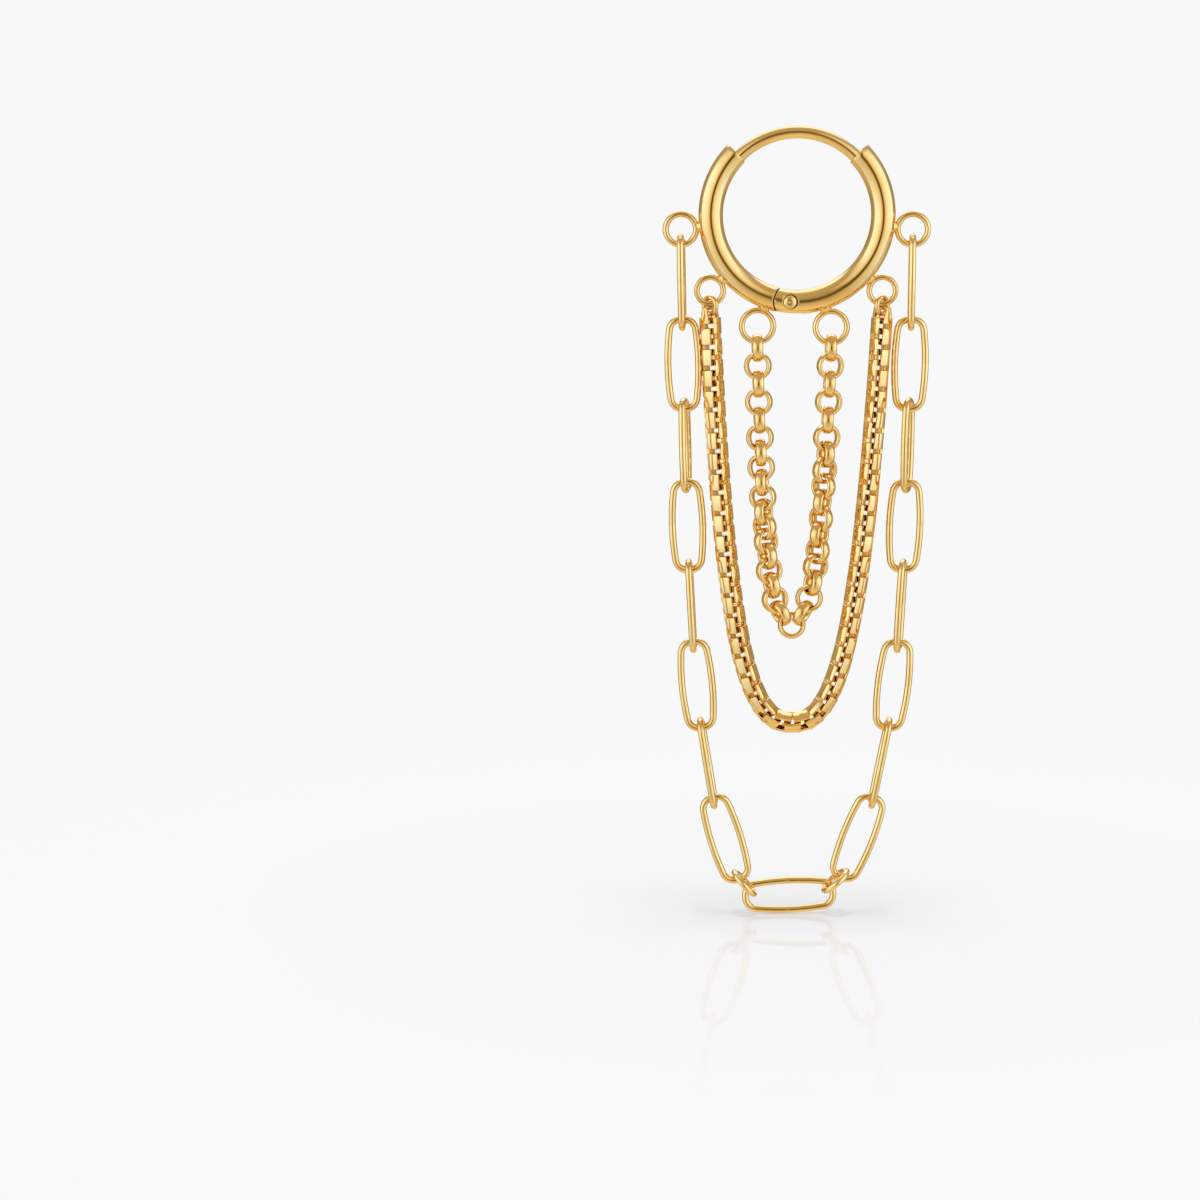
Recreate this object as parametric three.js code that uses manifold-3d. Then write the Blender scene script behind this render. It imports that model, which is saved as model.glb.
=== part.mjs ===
// Multi-chain hoop earring for a pierced ear: a small hinged tube hoop that carries three chains,
// hung one inside the other from six rings soldered round its lower outside.
//
// Frame: millimetres, +Z up, +X to the right as seen from the front, the front faces -Y.
// The hoop lies in the XZ plane. The origin is the middle of the ear wire at the top of the hoop,
// where the earring hangs in the lobe. Angles on the hoop run anticlockwise from +X, seen from the front.

import * as THREE from "three";
import { mergeVertices } from "three/addons/utils/BufferGeometryUtils.js";
import Module from "manifold-3d";

const wasm = await Module();
wasm.setup();

// ---- driving dimensions ----

const HOOP_RADIUS = 6.57; // middle of the tube
const TUBE_RADIUS = 0.945;
const TUBE_SIDES = 12;
const TUBE_STEP = 10; // degrees of hoop between two rings of corners
const LEFT_END = 135; // open end that takes the ear wire
const RIGHT_END = 45; // end that the ear wire comes out of

const EAR_WIRE_RADIUS = 0.49;
const EAR_WIRE_ARC = 6.23; // the wire runs nearer the inside of the hoop than the tube's middle
const EAR_WIRE_ROOT = 9; // degrees that it is sunk in the right end
const EAR_WIRE_TIP = 10; // degrees that it reaches into the left end
const CATCH_RADIUS = 0.64; // hollow of the left end
const CATCH_ARC = 6.31;
const CATCH_DEPTH = 24; // degrees

const HINGE_ANGLE = 265.8;
const KNUCKLE_RADIUS = 1.25; // round end of the right part, about the pin
const PIN_RADIUS = 0.44;
const PIN_LENGTH = 1.86;
const PIN_BORE_RADIUS = 0.53;
const TONGUE_THICKNESS = 0.6;
const TONGUE_WIDTH = 1.24;
const TONGUE_START = 250; // degrees, inside the left part
const SLOT_THICKNESS = 0.72;
const SLOT_END = 273.5;
const HINGE_GAP = 0.06;

// Soldered rings, from the top down: degrees below level on each side, outer and wire diameters.
const RINGS = [
  { name: "outer", belowLeft: 7, belowRight: 7, diameter: 2.8, wire: 0.48 },
  { name: "middle", belowLeft: 41, belowRight: 41, diameter: 2.46, wire: 0.44 },
  { name: "bottom", belowLeft: 70.8, belowRight: 72.4, diameter: 2.87, wire: 0.45 },
];
const RING_SEAT = 0.02; // how far a ring is pressed into the tube
const SOLDER_RADIUS = 0.32;

// Paperclip chain: long oval links, a small round link before the bottom one.
const CLIP_LENGTH = 7.28;
const CLIP_WIDTH = 2.84;
const CLIP_WIRE = 0.49;
const CLIP_CORNER = 3.2; // exponent of the oval: 2 would be an ellipse
const CLIP_SIDES = 5;
const CLIP_STEPS = 16;
const SMALL_CLIP_DIAMETER = 2.8;
const CLIP_GAP = 0.06;
const SMALL_CLIP_GAP = 0.2; // the small links hang askew between their neighbours
const CLIP_DRIFT = -0.1; // the bottom link hangs this far off the hoop's middle

// From the top down: each link's lean from the vertical before the chain is closed, and its turn
// about its own length, 0 facing the front and 90 edge-on.
const CLIP_LEANS = {
  left: [1.3, 1.5, 1.7, 2.2, 3.4, 5.8, 9.6, 17.6, 43],
  right: [0.3, 0.6, 0.9, 1.5, 2.8, 6.0, 10.8, 20.4, 49],
};
const CLIP_TURNS = {
  left: [90, 0, 78, 0, 86, 0, 85, 0, 90],
  right: [90, 0, 72, 0, 78, 0, 87, 0, 90],
};
const BOTTOM_CLIP_PULL = 45; // degrees above level at which the small links pull on the bottom link

// Box chain: square links of flat strip. The solid follows its outside, square with the corners off.
const BOX_SIDE = 1.35; // outside of a link
const BOX_STRIP = 1.0; // width of the strip
const BOX_STRIP_THICKNESS = 0.17;
const BOX_LINK_LENGTH = 1.15;
const BOX_BOTTOM = 45.43; // depth of the chain's middle below the origin
const BOX_STIFF = 0.32; // half of the length at the bottom that the links cannot bend
const BOX_TURN = 30; // degrees about the chain's length, 0 with a flat side to the front
const BOX_STEPS = 38;
const BOX_END_WIDTH = 0.36; // the end links are narrowed to pass through the connector rings
const CONNECTOR_RADIUS = 0.62; // middle of the wire
const CONNECTOR_WIRE = 0.36;
const CONNECTOR_TURN = 56; // degrees off the front
const CONNECTOR_GAP = 0.08;

// Belcher chain: round links of half-round strip, drawn out at the top and slack lower down.
const BELCHER_DIAMETER = 2.12;
const BELCHER_STRIP = 0.8; // width of the strip, along the link's axis
const BELCHER_THICKNESS = 0.34;
const BELCHER_GAP = 0.05;
const BELCHER_BOTTOM = 37.78; // depth of the lowest link's middle below the origin
const BELCHER_STEPS = 10;
const BELCHER_PITCH = 1.38; // drawn out
const BELCHER_DRAWN = 5; // number of drawn-out steps at the top
const BELCHER_LOWEST_PITCH = 1.14; // along the curve, from the lowest link to its neighbours
const BELCHER_LOWEST_LEAN = 30; // degrees, of those neighbours
const BELCHER_LOWEST_DROP = 0.3; // the lowest link hangs this far under the curve
const BELCHER_BEAD = 0.22; // joins the links of a stretch where they cross
const BELCHER_SIDES = [
  { side: -1, name: "left", links: 18, cuts: [6, 9, 13, 17] },
  { side: 1, name: "right", links: 17, cuts: [5, 10, 13, 16] },
];

const GOLD = { color: 0xdba84a, roughness: 0.16, metalness: 1 };

// ---- worked out ----

const HOOP_CENTRE_Z = -EAR_WIRE_ARC;
const HINGE_X = HOOP_RADIUS * Math.cos(THREE.MathUtils.degToRad(HINGE_ANGLE));
const HINGE_Z = HOOP_CENTRE_Z + HOOP_RADIUS * Math.sin(THREE.MathUtils.degToRad(HINGE_ANGLE));

// ---- paths and sections ----

class HoopArc extends THREE.Curve {
  constructor(radius, fromDegrees, toDegrees) {
    super();
    this.radius = radius;
    this.from = THREE.MathUtils.degToRad(fromDegrees);
    this.to = THREE.MathUtils.degToRad(toDegrees);
  }

  getPoint(t, target = new THREE.Vector3()) {
    const angle = this.from + (this.to - this.from) * t;
    const x = this.radius * Math.cos(angle);
    const z = HOOP_CENTRE_Z + this.radius * Math.sin(angle);
    return target.set(x, 0, z);
  }
}

// An oval between a rectangle and an ellipse, long along Z, in the XZ plane.
class OvalPath extends THREE.Curve {
  constructor(halfWidth, halfLength, corner) {
    super();
    this.halfWidth = halfWidth;
    this.halfLength = halfLength;
    this.power = 2 / corner;
  }

  getPoint(t, target = new THREE.Vector3()) {
    const angle = t * 2 * Math.PI;
    const across = Math.cos(angle);
    const along = Math.sin(angle);
    const x = this.halfWidth * Math.sign(across) * Math.abs(across) ** this.power;
    const z = this.halfLength * Math.sign(along) * Math.abs(along) ** this.power;
    return target.set(x, 0, z);
  }

  // Steps follow the angle, which puts more of them in the round ends.
  getUtoTmapping(u) {
    return u;
  }
}

// A chain hung from two points on one level: the curve that its own weight gives it, either side
// of a short straight length at the bottom for a chain that cannot bend there.
class HangingCurve extends THREE.Curve {
  constructor(leftX, rightX, topZ, lowestZ, stiff = 0, shortBy = 0) {
    super();
    const halfSpan = (rightX - leftX) / 2 - stiff;
    this.parameter = hangingParameter(halfSpan, topZ - lowestZ);
    this.halfLength = stiff + this.parameter * Math.sinh(halfSpan / this.parameter);
    this.middleX = (leftX + rightX) / 2;
    this.lowestZ = lowestZ;
    this.stiff = stiff;
    this.shortBy = shortBy; // how far short of its ends a sweep along it stops
  }

  // Place at a distance along the chain from its lowest point, positive to the right.
  at(distance, target = new THREE.Vector3()) {
    const a = this.parameter;
    const straight = THREE.MathUtils.clamp(distance, -this.stiff, this.stiff);
    const bent = distance - straight;
    const rise = Math.hypot(bent, a) - a;
    return target.set(this.middleX + straight + a * Math.asinh(bent / a), 0, this.lowestZ + rise);
  }

  // Lean of the chain from the vertical at that distance, in radians.
  leanAt(distance) {
    const step = 0.01;
    const before = this.at(distance - step);
    const after = this.at(distance + step);
    const upwards = distance < 0 ? before.sub(after) : after.sub(before);
    return Math.atan2(upwards.x, upwards.z);
  }

  getPoint(t, target = new THREE.Vector3()) {
    const reach = this.halfLength - this.shortBy;
    return this.at(-reach + 2 * reach * t, target);
  }
}

function hangingParameter(halfSpan, drop) {
  let low = halfSpan / 20;
  let high = halfSpan * 5;
  for (let round = 0; round < 60; round++) {
    const middle = (low + high) / 2;
    const sag = middle * (Math.cosh(halfSpan / middle) - 1);
    if (sag > drop) {
      low = middle;
    } else {
      high = middle;
    }
  }
  return (low + high) / 2;
}

function roundSection(radius, sides) {
  const corners = [];
  for (let i = 0; i < sides; i++) {
    const angle = ((i + 0.5) * 2 * Math.PI) / sides;
    corners.push(new THREE.Vector2(radius * Math.cos(angle), radius * Math.sin(angle)));
  }
  return new THREE.Shape(corners);
}

function plateSection(thickness, width) {
  const x = thickness / 2;
  const y = width / 2;
  return new THREE.Shape([
    new THREE.Vector2(-x, -y),
    new THREE.Vector2(x, -y),
    new THREE.Vector2(x, y),
    new THREE.Vector2(-x, y),
  ]);
}

// ---- solids ----

function toSolid(geometry) {
  const bare = geometry.clone();
  bare.deleteAttribute("normal");
  bare.deleteAttribute("uv");
  const merged = mergeVertices(bare, 1e-4);
  return new wasm.Manifold(new wasm.Mesh({
    numProp: 3,
    vertProperties: new Float32Array(merged.getAttribute("position").array),
    triVerts: new Uint32Array(merged.getIndex().array),
  }));
}

function toGeometry(solid) {
  const mesh = solid.getMesh();
  const geometry = new THREE.BufferGeometry();
  geometry.setAttribute("position", new THREE.BufferAttribute(mesh.vertProperties, 3));
  geometry.setIndex(new THREE.BufferAttribute(mesh.triVerts, 1));
  geometry.computeVertexNormals();
  return geometry;
}

function openSweep(section, path, steps) {
  return new THREE.ExtrudeGeometry(section, { steps, extrudePath: path });
}

// A sweep along a path that comes back to its start: its two lids meet, so they are left off.
function closedSweep(section, path, steps) {
  const swept = openSweep(section, path, steps);
  const walls = swept.groups.find((group) => group.materialIndex === 1);
  const corners = swept.getAttribute("position").array;
  const wallCorners = corners.slice(walls.start * 3, (walls.start + walls.count) * 3);
  const geometry = new THREE.BufferGeometry();
  geometry.setAttribute("position", new THREE.BufferAttribute(wallCorners, 3));
  const merged = mergeVertices(geometry, 1e-4);
  merged.computeVertexNormals();
  return merged;
}

function hoopSweep(section, radius, from, to) {
  const steps = Math.max(2, Math.round(Math.abs(to - from) / TUBE_STEP));
  return toSolid(openSweep(section, new HoopArc(radius, from, to), steps));
}

function hingeCylinder(radius, length, sides) {
  const cylinder = new THREE.CylinderGeometry(radius, radius, length, sides);
  cylinder.translate(HINGE_X, 0, HINGE_Z);
  return toSolid(cylinder);
}

function wireRing(diameter, wire, sides, steps) {
  const ring = new THREE.TorusGeometry((diameter - wire) / 2, wire / 2, sides, steps);
  return ring.rotateX(Math.PI / 2);
}

function named(name, geometry) {
  const mesh = new THREE.Mesh(geometry, new THREE.MeshStandardMaterial(GOLD));
  mesh.name = name;
  return mesh;
}

// ---- hoop ----

function ringCentre(ring, side) {
  const reach = HOOP_RADIUS + TUBE_RADIUS + ring.diameter / 2 - RING_SEAT;
  const angle = THREE.MathUtils.degToRad(side < 0 ? ring.belowLeft : ring.belowRight);
  return new THREE.Vector3(side * reach * Math.cos(angle), 0, HOOP_CENTRE_Z - reach * Math.sin(angle));
}

// Top of the wire at the bottom of a ring, where a chain hangs on it.
function ringFloor(ring, side) {
  return ringCentre(ring, side).z - ring.diameter / 2 + ring.wire;
}

// The three rings of one side with the solder that holds them.
function solderedRings(side) {
  let solid = null;
  for (const ring of RINGS) {
    const centre = ringCentre(ring, side);
    const loop = wireRing(ring.diameter, ring.wire, 5, 12).translate(centre.x, 0, centre.z);
    const seat = centre.clone().sub(new THREE.Vector3(0, 0, HOOP_CENTRE_Z));
    seat.setLength(HOOP_RADIUS + TUBE_RADIUS + ring.wire / 4);
    const bead = new THREE.IcosahedronGeometry(SOLDER_RADIUS, 0);
    bead.translate(seat.x, 0, HOOP_CENTRE_Z + seat.z);
    const joined = toSolid(loop).add(toSolid(bead));
    solid = solid ? solid.add(joined) : joined;
  }
  return solid;
}

function leftHalf() {
  const tubeSection = roundSection(TUBE_RADIUS, TUBE_SIDES);
  const hollow = hoopSweep(roundSection(CATCH_RADIUS, 12), CATCH_ARC, LEFT_END - 3, LEFT_END + CATCH_DEPTH);
  const tongueSection = plateSection(TONGUE_THICKNESS, TONGUE_WIDTH);
  const tongue = hoopSweep(tongueSection, HOOP_RADIUS, TONGUE_START, HINGE_ANGLE)
    .add(hingeCylinder(TONGUE_WIDTH / 2, TONGUE_THICKNESS, 24));
  return hoopSweep(tubeSection, HOOP_RADIUS, LEFT_END, HINGE_ANGLE)
    .subtract(hollow)
    .subtract(hingeCylinder(KNUCKLE_RADIUS + HINGE_GAP, 3, 24))
    .add(tongue)
    .subtract(hingeCylinder(PIN_BORE_RADIUS, 3, 16))
    .add(solderedRings(-1));
}

function rightHalf() {
  const tubeSection = roundSection(TUBE_RADIUS, TUBE_SIDES);
  const knuckle = hoopSweep(tubeSection, HOOP_RADIUS, TONGUE_START, HINGE_ANGLE + TUBE_STEP)
    .intersect(hingeCylinder(KNUCKLE_RADIUS, 3, 24));
  const slotSection = plateSection(SLOT_THICKNESS, 3 * TUBE_RADIUS);
  const slot = hoopSweep(slotSection, HOOP_RADIUS, TONGUE_START, SLOT_END);
  const wireSection = roundSection(EAR_WIRE_RADIUS, 8);
  const wireFrom = RIGHT_END - EAR_WIRE_ROOT;
  const wireTo = LEFT_END + EAR_WIRE_TIP;
  const earWire = hoopSweep(wireSection, EAR_WIRE_ARC, wireFrom, wireTo);
  return hoopSweep(tubeSection, HOOP_RADIUS, HINGE_ANGLE, RIGHT_END + 360)
    .add(knuckle)
    .subtract(slot)
    .subtract(hingeCylinder(PIN_BORE_RADIUS, 3, 16))
    .add(earWire)
    .add(solderedRings(1));
}

function hoop() {
  const group = new THREE.Group();
  group.add(named("hoop_half_left", toGeometry(leftHalf())));
  group.add(named("hoop_half_right", toGeometry(rightHalf())));
  const pin = named("hinge_pin", new THREE.CylinderGeometry(PIN_RADIUS, PIN_RADIUS, PIN_LENGTH, 16));
  pin.position.set(HINGE_X, 0, HINGE_Z);
  group.add(pin);
  return group;
}

// ---- paperclip chain ----

// A link's clear length, less the gap at its two ends.
function clipReach(length) {
  const gap = length === CLIP_LENGTH ? CLIP_GAP : SMALL_CLIP_GAP;
  return length - 2 * CLIP_WIRE - gap;
}

function clipLink(length, width) {
  if (length === width) {
    return wireRing(length, CLIP_WIRE, CLIP_SIDES, 12);
  }
  const path = new OvalPath((width - CLIP_WIRE) / 2, (length - CLIP_WIRE) / 2, CLIP_CORNER);
  return closedSweep(roundSection(CLIP_WIRE / 2, CLIP_SIDES), path, CLIP_STEPS);
}

// Where a small link pulls on the bottom link: on the inside of its rounded corner,
// where the oval's outward direction is the direction of the pull.
function bottomClipSeat() {
  const halfLength = (CLIP_LENGTH - CLIP_WIRE) / 2;
  const halfWidth = (CLIP_WIDTH - CLIP_WIRE) / 2;
  const pull = THREE.MathUtils.degToRad(BOTTOM_CLIP_PULL);
  const slope = (Math.tan(pull) * halfWidth) / halfLength;
  const ratio = slope ** (1 / (CLIP_CORNER - 1));
  const along = (1 + ratio ** CLIP_CORNER) ** (-1 / CLIP_CORNER);
  const inset = CLIP_WIRE / 2 + CLIP_GAP / 2;
  return {
    x: along * halfLength - inset * Math.cos(pull),
    z: ratio * along * halfWidth - inset * Math.sin(pull),
  };
}

function clipLengths() {
  const last = CLIP_LEANS.left.length - 1;
  return CLIP_LEANS.left.map((lean, i) => (i < last ? CLIP_LENGTH : SMALL_CLIP_DIAMETER));
}

// How far one side comes in when its leans are all multiplied by a factor.
function clipRun(leans, factor) {
  let across = 0;
  clipLengths().forEach((length, i) => {
    across += clipReach(length) * Math.sin(THREE.MathUtils.degToRad(leans[i] * factor));
  });
  return across;
}

function clipFactor(leans, across) {
  let low = 0.5;
  let high = 1.5;
  for (let round = 0; round < 50; round++) {
    const middle = (low + high) / 2;
    if (clipRun(leans, middle) < across) {
      low = middle;
    } else {
      high = middle;
    }
  }
  return (low + high) / 2;
}

function clipSide(side, seat) {
  const group = new THREE.Group();
  const sideName = side < 0 ? "left" : "right";
  const leans = CLIP_LEANS[sideName];
  const ring = RINGS[0];
  const startZ = ringFloor(ring, side) + CLIP_GAP / 2;
  const joint = new THREE.Vector3(ringCentre(ring, side).x, 0, startZ);
  const inwards = Math.abs(joint.x - CLIP_DRIFT - side * seat.x);
  const factor = clipFactor(leans, inwards);
  clipLengths().forEach((length, i) => {
    const lean = THREE.MathUtils.degToRad(leans[i] * factor);
    const turn = THREE.MathUtils.degToRad(CLIP_TURNS[sideName][i]);
    const step = new THREE.Vector3(-side * Math.sin(lean), 0, -Math.cos(lean));
    step.multiplyScalar(clipReach(length));
    const width = length === CLIP_LENGTH ? CLIP_WIDTH : length;
    const link = named(`paperclip_${sideName}_${i + 1}`, clipLink(length, width));
    link.position.copy(joint).addScaledVector(step, 0.5);
    link.rotation.set(0, side * lean, turn, "YXZ");
    group.add(link);
    joint.add(step);
  });
  return { group, end: joint };
}

function paperclipChain() {
  const seat = bottomClipSeat();
  const left = clipSide(-1, seat);
  const right = clipSide(1, seat);
  const bottom = named("paperclip_bottom", clipLink(CLIP_LENGTH, CLIP_WIDTH));
  const middle = left.end.clone().add(right.end).multiplyScalar(0.5);
  const tilt = Math.atan2(right.end.z - left.end.z, right.end.x - left.end.x);
  bottom.position.set(middle.x, 0, middle.z - seat.z);
  bottom.rotation.y = Math.PI / 2 - tilt;
  const group = new THREE.Group();
  group.add(left.group, right.group, bottom);
  return group;
}

// ---- box chain ----

function boxSection() {
  const outer = BOX_SIDE / 2;
  const inner = BOX_STRIP / 2;
  const corners = [];
  for (let quarter = 0; quarter < 4; quarter++) {
    const turn = THREE.MathUtils.degToRad(BOX_TURN + 90 * quarter);
    corners.push(new THREE.Vector2(outer, -inner).rotateAround(new THREE.Vector2(), turn));
    corners.push(new THREE.Vector2(outer, inner).rotateAround(new THREE.Vector2(), turn));
  }
  return new THREE.Shape(corners);
}

function connectorCentreZ() {
  const floor = ringFloor(RINGS[1], 1);
  return floor + CONNECTOR_GAP + CONNECTOR_WIRE / 2 - CONNECTOR_RADIUS;
}

// The end link's bar lies in the bottom of the connector ring, as low as its width lets it.
function boxEndZ() {
  const hole = CONNECTOR_RADIUS - CONNECTOR_WIRE / 2;
  const depth = Math.sqrt(hole ** 2 - (BOX_END_WIDTH / 2) ** 2) - CONNECTOR_GAP;
  return connectorCentreZ() - depth + BOX_STRIP_THICKNESS - BOX_LINK_LENGTH / 2;
}

// End link: a narrow rectangular loop, its hole square to the plane of the connector ring.
function boxEndLink(side, curve) {
  const holeSide = BOX_SIDE - 2 * BOX_STRIP_THICKNESS;
  const holeLength = BOX_LINK_LENGTH - 2 * BOX_STRIP_THICKNESS;
  const frame = new THREE.BoxGeometry(BOX_END_WIDTH, BOX_SIDE, BOX_LINK_LENGTH);
  const hole = new THREE.BoxGeometry(2 * BOX_END_WIDTH, holeSide, holeLength);
  const turn = side * THREE.MathUtils.degToRad(90 - CONNECTOR_TURN);
  const place = new THREE.Matrix4().makeRotationY(curve.leanAt(side * curve.halfLength));
  place.multiply(new THREE.Matrix4().makeRotationZ(turn));
  place.setPosition(curve.at(side * curve.halfLength));
  frame.applyMatrix4(place);
  hole.applyMatrix4(place);
  return toSolid(frame).subtract(toSolid(hole));
}

function boxChain() {
  const halfSpan = ringCentre(RINGS[1], 1).x;
  const firstLink = BOX_LINK_LENGTH / 2 - 2 * BOX_STRIP_THICKNESS; // the solid starts inside the end link
  const curve = new HangingCurve(-halfSpan, halfSpan, boxEndZ(), -BOX_BOTTOM, BOX_STIFF, firstLink);
  const tube = toSolid(openSweep(boxSection(), curve, BOX_STEPS));
  const chain = tube.add(boxEndLink(-1, curve)).add(boxEndLink(1, curve));
  const group = new THREE.Group();
  group.add(named("box_chain", toGeometry(chain)));
  for (const side of [-1, 1]) {
    const sideName = side < 0 ? "left" : "right";
    const diameter = 2 * CONNECTOR_RADIUS + CONNECTOR_WIRE;
    const connector = named(`box_ring_${sideName}`, wireRing(diameter, CONNECTOR_WIRE, 5, 12));
    connector.position.set(side * halfSpan, 0, connectorCentreZ());
    connector.rotation.z = side * THREE.MathUtils.degToRad(CONNECTOR_TURN);
    group.add(connector);
  }
  return group;
}

// ---- belcher chain ----

// Half-round strip bent into a ring: a closed profile turned about the ring's axis.
function belcherLink() {
  const outer = BELCHER_DIAMETER / 2;
  const inner = outer - BELCHER_THICKNESS;
  const middle = (outer + inner) / 2;
  const edge = BELCHER_STRIP / 2;
  const flat = edge * 0.56;
  const profile = [
    new THREE.Vector2(inner, 0),
    new THREE.Vector2(middle, -edge),
    new THREE.Vector2(outer, -flat),
    new THREE.Vector2(outer, flat),
    new THREE.Vector2(middle, edge),
    new THREE.Vector2(inner, 0),
  ];
  return new THREE.LatheGeometry(profile, BELCHER_STEPS);
}

// Each link is a quarter turn from the last, and both strands twist part of the way down.
function belcherTurn(side, link) {
  const quarter = link % 2 === 1 ? 90 : 0;
  if (side < 0) {
    return quarter - 30 * THREE.MathUtils.clamp(link - 10, 0, 3);
  }
  const along = THREE.MathUtils.clamp((link - 6) / 9, 0, 1);
  return quarter - 60 * Math.sin(Math.PI * along);
}

// Distance of a link along the strand from the lowest one.
function belcherDistance(row, curve, link) {
  const drawn = BELCHER_PITCH * BELCHER_DRAWN;
  const slackSteps = row.links - 1 - BELCHER_DRAWN;
  const slackPitch = (curve.halfLength - drawn - BELCHER_LOWEST_PITCH) / slackSteps;
  const steps = link - 1;
  const fromTop = BELCHER_PITCH * Math.min(steps, BELCHER_DRAWN);
  return curve.halfLength - fromTop - slackPitch * Math.max(0, steps - BELCHER_DRAWN);
}

function belcherPlaced(row, curve, link) {
  const distance = row.side * belcherDistance(row, curve, link);
  const lowestLean = row.side * THREE.MathUtils.degToRad(BELCHER_LOWEST_LEAN);
  const lean = link === row.links ? lowestLean : curve.leanAt(distance);
  const turn = THREE.MathUtils.degToRad(row.side * belcherTurn(row.side, link));
  const place = new THREE.Matrix4().makeRotationY(lean);
  place.multiply(new THREE.Matrix4().makeRotationZ(turn));
  place.setPosition(curve.at(distance));
  return toSolid(belcherLink().applyMatrix4(place));
}

// The bead in the crossing between a link and the next one down.
function belcherBead(row, curve, link) {
  const here = belcherDistance(row, curve, link);
  const next = belcherDistance(row, curve, link + 1);
  const crossing = curve.at((row.side * (here + next)) / 2);
  const bead = new THREE.OctahedronGeometry(BELCHER_BEAD, 0);
  bead.translate(crossing.x, 0, crossing.z);
  return toSolid(bead);
}

// The same between a strand's last link and the lowest one, which hangs under the curve.
function belcherLowestBead(row, curve) {
  const crossing = curve.at(row.side * belcherDistance(row, curve, row.links));
  crossing.lerp(new THREE.Vector3(curve.middleX, 0, -BELCHER_BOTTOM), 0.5);
  const bead = new THREE.OctahedronGeometry(BELCHER_BEAD, 0);
  bead.translate(crossing.x, 0, crossing.z);
  return toSolid(bead);
}

function belcherStretch(row, curve, first, last) {
  let solid = belcherPlaced(row, curve, first);
  for (let link = first + 1; link <= last; link++) {
    solid = solid.add(belcherBead(row, curve, link - 1));
    solid = solid.add(belcherPlaced(row, curve, link));
  }
  return solid;
}

function belcherChain() {
  const ring = RINGS[2];
  const leftX = ringCentre(ring, -1).x;
  const rightX = ringCentre(ring, 1).x;
  const hangingOn = Math.max(ringFloor(ring, -1), ringFloor(ring, 1));
  const topZ = hangingOn + BELCHER_GAP - BELCHER_DIAMETER / 2 + BELCHER_THICKNESS;
  const curve = new HangingCurve(leftX, rightX, topZ, BELCHER_LOWEST_DROP - BELCHER_BOTTOM);
  const group = new THREE.Group();
  const lowest = belcherLink().translate(curve.middleX, 0, -BELCHER_BOTTOM);
  let bottom = toSolid(lowest);
  for (const row of BELCHER_SIDES) {
    let first = 1;
    row.cuts.forEach((last, index) => {
      const stretch = belcherStretch(row, curve, first, last);
      group.add(named(`rolo_${row.name}_${"abcd"[index]}`, toGeometry(stretch)));
      first = last + 1;
    });
    bottom = bottom.add(belcherStretch(row, curve, first, row.links));
    bottom = bottom.add(belcherLowestBead(row, curve));
  }
  group.add(named("rolo_bottom", toGeometry(bottom)));
  return group;
}

const earring = new THREE.Group();
earring.add(hoop(), paperclipChain(), boxChain(), belcherChain());

export default earring;
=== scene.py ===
import math

import bmesh
import bpy
from mathutils import Matrix, Vector


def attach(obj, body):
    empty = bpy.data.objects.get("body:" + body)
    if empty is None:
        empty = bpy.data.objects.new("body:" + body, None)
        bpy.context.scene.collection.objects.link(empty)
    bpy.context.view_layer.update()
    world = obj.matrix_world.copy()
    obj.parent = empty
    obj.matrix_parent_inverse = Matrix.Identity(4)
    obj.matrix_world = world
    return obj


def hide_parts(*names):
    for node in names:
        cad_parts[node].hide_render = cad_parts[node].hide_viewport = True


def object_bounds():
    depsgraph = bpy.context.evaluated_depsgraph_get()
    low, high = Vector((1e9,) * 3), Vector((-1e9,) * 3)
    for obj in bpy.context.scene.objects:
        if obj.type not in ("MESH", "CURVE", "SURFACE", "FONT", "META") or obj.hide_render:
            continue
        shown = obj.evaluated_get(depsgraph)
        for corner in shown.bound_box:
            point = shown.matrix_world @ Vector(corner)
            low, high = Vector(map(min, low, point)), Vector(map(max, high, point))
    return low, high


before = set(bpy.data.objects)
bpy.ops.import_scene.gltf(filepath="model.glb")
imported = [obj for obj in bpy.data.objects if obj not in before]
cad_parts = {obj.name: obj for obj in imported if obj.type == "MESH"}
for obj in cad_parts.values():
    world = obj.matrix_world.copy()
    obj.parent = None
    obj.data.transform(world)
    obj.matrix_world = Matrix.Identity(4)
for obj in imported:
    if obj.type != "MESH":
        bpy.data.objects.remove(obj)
cad_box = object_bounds()
MM = 0.001


# ---- gold plate ----
# Every piece is brass with a polished yellow gold plate of a few microns. The polish leaves a
# mirror with very fine lines and a faint orange peel. Where pieces come close, the colour is
# darkened towards brown: painted shade in the gaps and corners.


def linear(code):
    """Linear colour of an sRGB hex value."""
    parts = [int(code[i : i + 2], 16) / 255 for i in (1, 3, 5)]
    return [p / 12.92 if p <= 0.04045 else ((p + 0.055) / 1.055) ** 2.4 for p in parts] + [1]


def add_node(material, kind, settings=None, links=None):
    """Adds a node, sets its properties or sockets by name, and feeds its sockets."""
    node = material.node_tree.nodes.new(kind)
    for name, value in (settings or {}).items():
        if name in node.inputs:
            node.inputs[name].default_value = value
        else:
            setattr(node, name, value)
    for name, source in (links or {}).items():
        material.node_tree.links.new(source, node.inputs[name])
    return node


def blend_colours(ramp, stops):
    """Sets a colour ramp to (position, sRGB hex) stops."""
    while len(ramp.color_ramp.elements) < len(stops):
        ramp.color_ramp.elements.new(0.5)
    for element, (position, code) in zip(ramp.color_ramp.elements, stops):
        element.position = position
        element.color = linear(code)


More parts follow.
